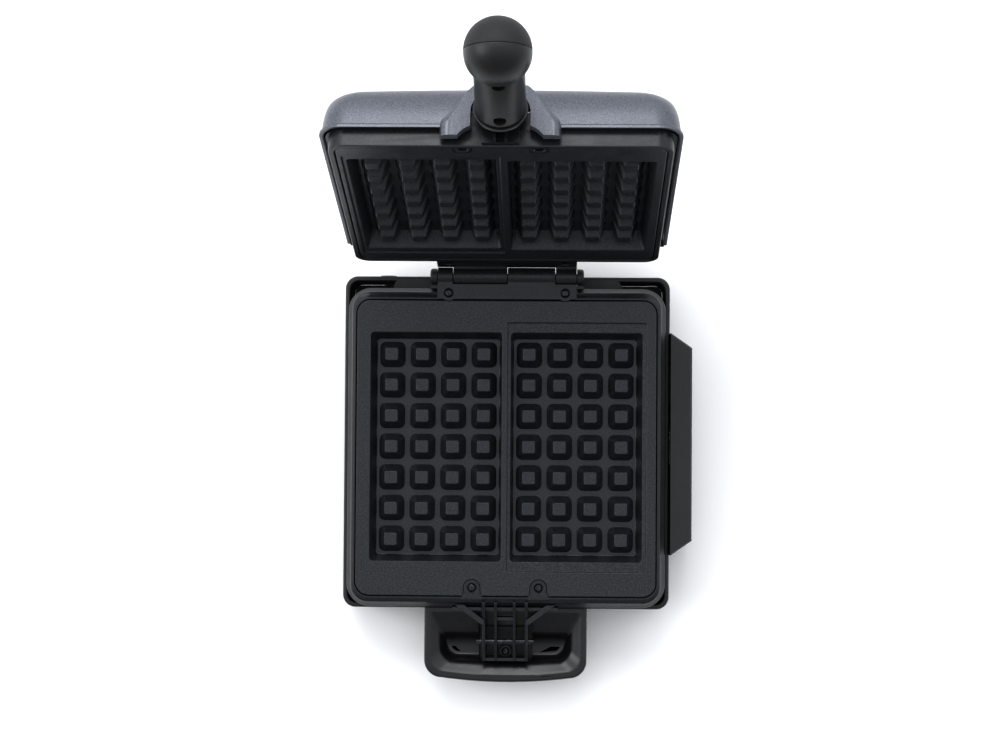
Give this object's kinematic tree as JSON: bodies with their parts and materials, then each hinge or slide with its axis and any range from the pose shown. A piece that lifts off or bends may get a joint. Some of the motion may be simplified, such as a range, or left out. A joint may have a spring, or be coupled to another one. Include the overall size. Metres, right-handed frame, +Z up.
{
  "type": "waffle maker",
  "caption": "Waffle maker with twin rectangular waffle plates, a rear-hinged lid standing open, an arched lid handle, a front finger guard and a side control box.",
  "frame": {"origin": "centre of the footprint of the whole object, lid open, at floor level", "axes": "+Z up, +Y to the hinge at the back, +X to the control box side"},
  "size_m": [0.2802, 0.4686, 0.4193],
  "materials": {
    "black_plastic": "fine moulded grain",
    "gloss_black_plastic": "satin gloss",
    "dial_plastic": "fine grain",
    "handle_plastic": "soft sheen",
    "non_stick": "dark non-stick coating over cast aluminium",
    "cast_metal": "dark coated die casting",
    "metallic_paint": "silver-grey metallic lacquer over moulded plastic",
    "steel": "zinc plated",
    "heater_steel": "oxidised sheath",
    "sheet_aluminium": "mill finish",
    "rubber": "matt",
    "ceramic": "moulded insulator",
    "board": "laminate",
    "red_lens": "clear red",
    "green_lens": "clear green",
    "lamp_glass": "clear"
  },
  "bodies": {
    "base": {"base_tray": "black_plastic", "bottom_cover": "black_plastic", "lower_frame": "cast_metal", "lower_plate": "non_stick", "control_box": "black_plastic", "thermostat": "ceramic", "indicator_board": "board", "cord_gland": "rubber", "terminal_block": "ceramic", "thermal_fuse": "ceramic", "front_guard": "gloss_black_plastic", "front_bracket": "cast_metal", "bracket_pin": "steel", "hinge_pin": "steel", "lower_heater": "heater_steel", "lower_reflector": "sheet_aluminium", "power_lens": "red_lens", "ready_lens": "green_lens", "power_lamp": "lamp_glass", "ready_lamp": "lamp_glass", "hinge_cap_left": "black_plastic", "hinge_cap_right": "black_plastic", "guard_screw": "steel", "foot_1": "rubber", "bottom_screw_1": "steel", "foot_2": "rubber", "bottom_screw_2": "steel", "foot_3": "rubber", "bottom_screw_3": "steel", "foot_4": "rubber", "bottom_screw_4": "steel", "lower_plate_screw_1": "steel", "lower_plate_screw_2": "steel", "lower_plate_screw_3": "steel", "lower_plate_screw_4": "steel"},
    "lid": {"upper_frame": "cast_metal", "upper_plate": "non_stick", "lid_cover": "metallic_paint", "lid_back_panel": "black_plastic", "handle_arm": "cast_metal", "handle_collar": "handle_plastic", "handle_upper_shell": "handle_plastic", "handle_lower_shell": "handle_plastic", "upper_heater": "heater_steel", "upper_reflector": "sheet_aluminium", "upper_plate_screw_1": "steel", "upper_plate_screw_2": "steel", "upper_plate_screw_3": "steel", "upper_plate_screw_4": "steel", "handle_screw_1": "steel", "handle_screw_2": "steel"},
    "dial": {"temperature_dial": "dial_plastic", "dial_shaft": "steel"}
  },
  "joints": [
    {"name": "lid_hinge", "type": "hinge", "parent": "base", "child": "lid", "pos_m": [-0.0091, 0.09136, 0.0654], "axis": [1, 0, 0], "range_deg": [0, 104.65]},
    {"name": "dial_turn", "type": "hinge", "parent": "base", "child": "dial", "pos_m": [0.1359, -0.0447, 0.033], "axis": [1, 0, 0], "range_deg": [-270, 0]}
  ]
}
